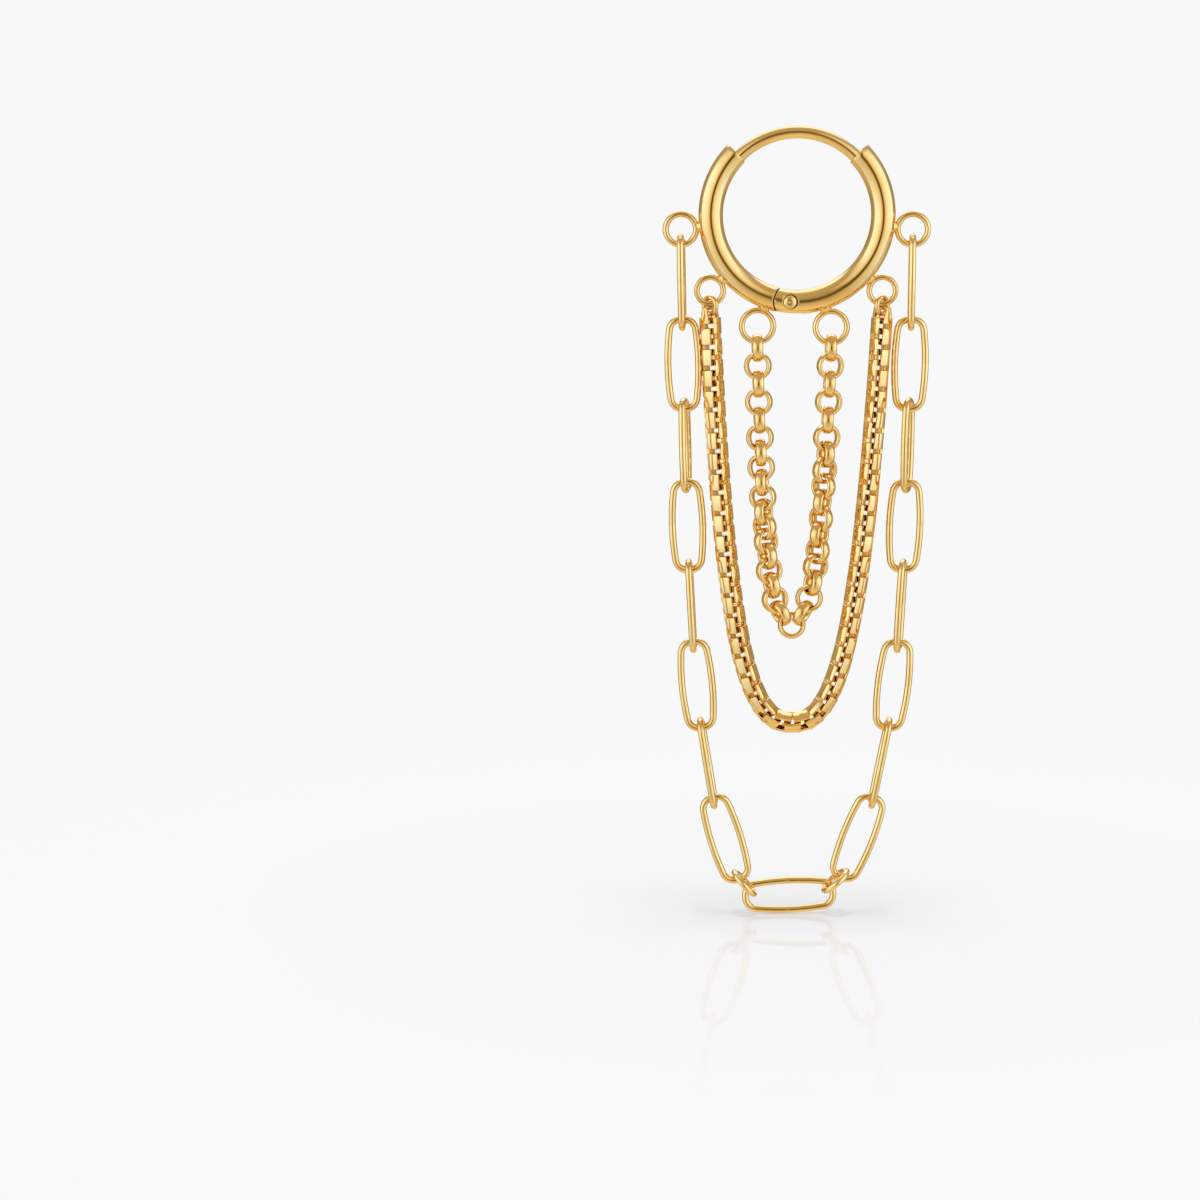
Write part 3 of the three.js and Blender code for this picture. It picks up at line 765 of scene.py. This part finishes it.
jump_ring_z = ring_floor(RINGS[1], 1) + JUMP_RING_GAP + JUMP_RING_WIRE / 2 - JUMP_RING_RADIUS
jump_ring_hole = JUMP_RING_RADIUS - JUMP_RING_WIRE / 2
end_depth = math.sqrt(jump_ring_hole**2 - (BOX_END_WIDTH / 2) ** 2) - JUMP_RING_GAP
box_top = jump_ring_z - end_depth + BOX_THICKNESS - BOX_LENGTH / 2
box_reach = ring_centre(RINGS[1], 1).x
box_half, box_at, box_lean = hanging_chain(-box_reach, box_reach, box_top, -BOX_BOTTOM, BOX_STIFF)
box_pattern = box_link(BOX_STRIP)
end_pattern = box_link(BOX_END_WIDTH)
links = []
for number in range(BOX_LINKS):
    distance = box_half * (2 * number / (BOX_LINKS - 1) - 1)
    side = -1 if distance < 0 else 1
    turn = BOX_TURN + BOX_WANDER * math.sin(BOX_WANDER_STEP * number) + 90 * (number % 2)
    place = turned_to(box_at(distance), box_lean(distance), side * math.radians(turn))
    pattern = end_pattern if number in (0, BOX_LINKS - 1) else box_pattern
    links.append(placed_copy(pattern, place))
finish_piece(join_pieces(links), "box_links", "box_chain")
bpy.data.objects.remove(box_pattern)
bpy.data.objects.remove(end_pattern)
jump_ring_outside = 2 * JUMP_RING_RADIUS + JUMP_RING_FULL_WIRE
jump_ring = wire_ring(Vector(), jump_ring_outside, JUMP_RING_FULL_WIRE, 16, 36)
ease_edges(jump_ring, 0, 60)
for side, side_name in ((-1, "left"), (1, "right")):
    where = Vector((side * box_reach, 0, jump_ring_z))
    place = turned_to(where, 0, side * math.radians(JUMP_RING_TURN))
    finish_piece(placed_copy(jump_ring, place), f"jump_ring_{side_name}", f"box_ring_{side_name}")
bpy.data.objects.remove(jump_ring)


# ---- belcher chain ----
# Round links of oval brass strip, twice as wide as it is thick, that alternate front and side on.
# The upper links hang drawn out, the lower ones slack and twisted, and one link faces the front at
# the bottom.

BELCHER_DIAMETER = 2.12 * MM
BELCHER_STRIP = 0.8 * MM
BELCHER_THICKNESS = 0.34 * MM
# The strip is made this much fuller on both faces than its solid.
BELCHER_FULLNESS = 0.03 * MM
BELCHER_GAP = 0.05 * MM
BELCHER_BOTTOM = 37.78 * MM
# The first steps down each strand are drawn out to this pitch.
BELCHER_PITCH = 1.38 * MM
BELCHER_DRAWN = 5
# The lowest link hangs under the line of the strands, and its two neighbours lean in to it.
LOWEST_PITCH = 1.14 * MM
LOWEST_LEAN = math.radians(30)
LOWEST_DROP = 0.3 * MM
LOWEST_TILT = math.radians(-18)
# How far each link is turned from facing the front, in degrees, from the top down. The strip is so
# wide that two neighbours need at least 65 degrees between them.
LEFT_TURNS = [90, 16, 90, 16, 90, 16, 90, 16, 102, 22, -62, 50, -40, 66, -22, 74, -22, 70]
RIGHT_TURNS = [90, 16, 90, 16, 90, 16, -72, 38, -50, 62, -50, 60, -50, 33, -72, -4, 70]
# Side, its name, its links' turns, and the last link of each named stretch.
BELCHER_SIDES = [
    (-1, "left", LEFT_TURNS, [6, 9, 13, 17]),
    (1, "right", RIGHT_TURNS, [5, 10, 13, 16]),
]


def belcher_link():
    """Oval strip bent into a ring and soldered shut."""
    bpy.ops.object.select_all(action="DESELECT")
    middle = (BELCHER_DIAMETER - BELCHER_THICKNESS) / 2
    thickness = BELCHER_THICKNESS + 2 * BELCHER_FULLNESS
    bpy.ops.mesh.primitive_circle_add(
        vertices=14, radius=thickness / 2, fill_type="NGON", location=(middle, 0, 0)
    )
    bpy.context.object.scale = (1, BELCHER_STRIP / thickness, 1)
    link = close_ring(spin_section(Vector(), 0, 360, 32))
    ease_edges(link, 0, 60)
    return link


belcher_left = ring_centre(RINGS[2], -1).x
belcher_right = ring_centre(RINGS[2], 1).x
highest = max(ring_floor(RINGS[2], -1), ring_floor(RINGS[2], 1))
belcher_top = highest + BELCHER_GAP - BELCHER_DIAMETER / 2 + BELCHER_THICKNESS
belcher_half, belcher_at, belcher_lean = hanging_chain(
    belcher_left, belcher_right, belcher_top, LOWEST_DROP - BELCHER_BOTTOM
)
belcher_pattern = belcher_link()
lowest = Vector(((belcher_left + belcher_right) / 2, 0, -BELCHER_BOTTOM))
tilted = Matrix.Translation(lowest) @ Matrix.Rotation(LOWEST_TILT, 4, "X")
bottom_links = [placed_copy(belcher_pattern, tilted)]
for side, side_name, turns, stretches in BELCHER_SIDES:
    count = len(turns)
    slack_steps = count - 1 - BELCHER_DRAWN
    slack = (belcher_half - BELCHER_PITCH * BELCHER_DRAWN - LOWEST_PITCH) / slack_steps
    stretch = []
    for number, turn in enumerate(turns, 1):
        steps = number - 1
        distance = belcher_half - BELCHER_PITCH * min(steps, BELCHER_DRAWN)
        distance = side * (distance - slack * max(0, steps - BELCHER_DRAWN))
        lean = side * LOWEST_LEAN if number == count else belcher_lean(distance)
        place = turned_to(belcher_at(distance), lean, math.radians(side * turn))
        stretch.append(placed_copy(belcher_pattern, place))
        if number in stretches:
            letter = "abcd"[stretches.index(number)]
            links = join_pieces(stretch)
            finish_piece(links, f"belcher_{side_name}_{letter}", f"rolo_{side_name}_{letter}")
            stretch = []
    bottom_links += stretch
finish_piece(join_pieces(bottom_links), "belcher_bottom", "rolo_bottom")
bpy.data.objects.remove(belcher_pattern)


# ---- studio ----
# A pale board curved up behind the earring, and one soft lamp overhead for its shadow. What the
# polished gold mirrors is a room painted round it by direction: tall soft boxes left and right, the
# dark lens between them, and dim walls.

SWEEP_WIDTH, SWEEP_DEPTH, SWEEP_BEND, SWEEP_RISE = 3, 0.9, 0.3, 0.7
FLOOR = cad_box[0].z - 0.05 * MM


def painted_board():
    """White painted board that shows one even tone, so that the sweep has no horizon, with a faint
    mirror and a faint shadow close to the earring."""
    board = bpy.data.materials.new("pale_table")
    board.use_nodes = True
    board.node_tree.nodes.clear()
    light = add_node(board, "ShaderNodeEmission", {"Color": linear("#FFFFFF"), "Strength": 0.94})
    place = add_node(board, "ShaderNodeTexCoord").outputs["Object"]
    distance = add_node(
        board, "ShaderNodeVectorMath", {"operation": "LENGTH"}, {"Vector": place}
    )
    away = distance.outputs["Value"]
    shade = add_node(
        board,
        "ShaderNodeMapRange",
        {"From Min": 0.06, "From Max": 0.14, "To Min": 0.45, "To Max": 0.0},
        {"Value": away},
    )
    mirror = add_node(
        board,
        "ShaderNodeMapRange",
        {"From Min": 0.0610, "From Max": 0.078, "To Min": 0.17, "To Max": 0.0},
        {"Value": away},
    )
    matt = add_node(board, "ShaderNodeBsdfDiffuse", {"Color": linear("#B9B7B4")})
    gloss = add_node(board, "ShaderNodeBsdfGlossy", {"Roughness": 0.03})
    body = add_node(board, "ShaderNodeMixShader", {}, {"Fac": shade.outputs["Result"]})
    board.node_tree.links.new(light.outputs["Emission"], body.inputs[1])
    board.node_tree.links.new(matt.outputs["BSDF"], body.inputs[2])
    both = add_node(board, "ShaderNodeMixShader", {}, {"Fac": mirror.outputs["Result"]})
    board.node_tree.links.new(body.outputs["Shader"], both.inputs[1])
    board.node_tree.links.new(gloss.outputs["BSDF"], both.inputs[2])
    add_node(board, "ShaderNodeOutputMaterial", {}, {"Surface": both.outputs["Shader"]})
    return board


bpy.ops.object.select_all(action="DESELECT")
bpy.ops.mesh.primitive_plane_add(size=1, location=(0, 0, FLOOR))
sweep = bpy.context.object
sweep.name = "sweep"
sweep.scale = (SWEEP_WIDTH, SWEEP_DEPTH, 1)
bpy.ops.object.transform_apply(location=True, rotation=True, scale=True)
bpy.ops.object.mode_set(mode="EDIT")
pick("EDGE", lambda edge: min(vertex.co.y for vertex in edge.verts) > SWEEP_DEPTH / 3)
bend = (0, SWEEP_DEPTH / 2, FLOOR + SWEEP_BEND)
bpy.ops.mesh.spin(steps=24, angle=math.pi / 2, center=bend, axis=(-1, 0, 0))
bpy.ops.mesh.extrude_region_move(TRANSFORM_OT_translate={"value": (0, 0, SWEEP_RISE)})
bpy.ops.object.mode_set(mode="OBJECT")
bpy.ops.object.shade_smooth()
sweep.data.materials.append(painted_board())
sweep.visible_glossy = False

soft_box = bpy.data.lights.new("soft_box_top", "AREA")
soft_box.shape = "RECTANGLE"
soft_box.size = 0.16
soft_box.size_y = 0.16
soft_box.energy = 3.2
stand = bpy.data.objects.new("soft_box_top", soft_box)
bpy.context.collection.objects.link(stand)
stand.location = (0, -0.02, 0.45)
aim = Vector((0, 0, FLOOR)) - stand.location
stand.rotation_euler = aim.to_track_quat("-Z", "Y").to_euler()
stand.visible_glossy = False


def studio_walls():
    """What the gold sees: tall soft boxes left and right with the dark lens between them, a dim
    ceiling, table and back wall, and a soft box overhead behind the earring. The camera sees plain
    pale grey in its place."""
    studio = bpy.data.worlds.new("studio")
    studio.use_nodes = True
    background = studio.node_tree.nodes["Background"]
    direction = add_node(studio, "ShaderNodeTexCoord").outputs["Generated"]
    parts = add_node(studio, "ShaderNodeSeparateXYZ", {}, {"Vector": direction})
    # From the lens at 0 to straight left or right at 1.
    aside = add_node(
        studio, "ShaderNodeMath", {"operation": "ABSOLUTE"}, {"Value": parts.outputs["X"]}
    )
    boxes = add_node(studio, "ShaderNodeValToRGB", {}, {"Fac": aside.outputs["Value"]})
    blend_colours(
        boxes,
        [
            (0.0, "#211A0D"),
            (0.08, "#4D4430"),
            (0.15, "#7D735F"),
            (0.24, "#A19884"),
            (0.36, "#B0AC9F"),
            (0.57, "#B8BCC6"),
            (0.75, "#BCCCEA"),
            (1.0, "#C2D2F2"),
        ],
    )
    # From the lens at 0 to the back wall at 1.
    depth = add_node(
        studio, "ShaderNodeMapRange", {"From Min": -1.0}, {"Value": parts.outputs["Y"]}
    )
    fade = add_node(studio, "ShaderNodeValToRGB", {}, {"Fac": depth.outputs["Result"]})
    blend_colours(
        fade, [(0.5, "#FFFFFF"), (0.56, "#C8BEB0"), (0.63, "#9A8C76"), (0.85, "#988A70")]
    )
    # From the table at 0 to the ceiling at 1.
    height = add_node(
        studio, "ShaderNodeMapRange", {"From Min": -1.0}, {"Value": parts.outputs["Z"]}
    )
    level = add_node(studio, "ShaderNodeValToRGB", {}, {"Fac": height.outputs["Result"]})
    blend_colours(
        level,
        [
            (0.0, "#C0C0C0"),
            (0.3, "#E0E0E0"),
            (0.5, "#FFFFFF"),
            (0.73, "#FFFFFF"),
            (0.8, "#E6E6E6"),
            (0.88, "#B0B0B0"),
            (1.0, "#989898"),
        ],
    )
    dim = add_node(studio, "ShaderNodeValToRGB", {}, {"Fac": height.outputs["Result"]})
    blend_colours(
        dim,
        [
            (0.0, "#AAA391"),
            (0.2, "#988F7E"),
            (0.35, "#7E7768"),
            (0.45, "#4B4434"),
            (0.52, "#211A0D"),
            (0.7, "#7D7565"),
            (1.0, "#898073"),
        ],
    )
    walls = boxes.outputs["Color"]
    for kind, other in (("MULTIPLY", fade), ("MULTIPLY", level), ("LIGHTEN", dim)):
        walls = add_node(
            studio,
            "ShaderNodeMixRGB",
            {"blend_type": kind, "Fac": 1.0},
            {"Color1": walls, "Color2": other.outputs["Color"]},
        ).outputs["Color"]
    # The soft box overhead, 30 degrees back from straight up.
    overhead = add_node(
        studio, "ShaderNodeVectorMath", {"operation": "DOT_PRODUCT"}, {0: direction}
    )
    overhead.inputs[1].default_value = (0, 0.5, 0.866)
    overhead_box = add_node(
        studio,
        "ShaderNodeMapRange",
        {"From Min": 0.8, "From Max": 0.88},
        {"Value": overhead.outputs["Value"]},
    )
    back_wall = add_node(
        studio,
        "ShaderNodeMapRange",
        {"From Min": 0.955, "From Max": 0.965},
        {"Value": depth.outputs["Result"]},
    )
    seen = add_node(studio, "ShaderNodeLightPath").outputs["Is Camera Ray"]
    for code, share in (
        ("#C2D2F2", overhead_box.outputs["Result"]),
        ("#ACACAC", back_wall.outputs["Result"]),
        ("#F8F8F8", seen),
    ):
        walls = add_node(
            studio, "ShaderNodeMixRGB", {"Color2": linear(code)}, {"Fac": share, "Color1": walls}
        ).outputs["Color"]
    studio.node_tree.links.new(walls, background.inputs["Color"])
    power = add_node(
        studio,
        "ShaderNodeMapRange",
        {"To Min": 2.3, "To Max": 1.0},
        {"Value": seen},
    )
    studio.node_tree.links.new(power.outputs["Result"], background.inputs["Strength"])
    return studio


bpy.context.scene.world = studio_walls()
bpy.context.scene.view_settings.view_transform = "Standard"

lens = bpy.data.cameras.new("camera")
lens.lens = 85
lens.sensor_width = 36
lens.clip_start = 0.01
camera = bpy.data.objects.new("camera", lens)
bpy.context.collection.objects.link(camera)
camera.location = (-0.01499, -0.2176, -0.00524)
camera.rotation_euler = (math.radians(82), 0, 0)
bpy.context.scene.camera = camera
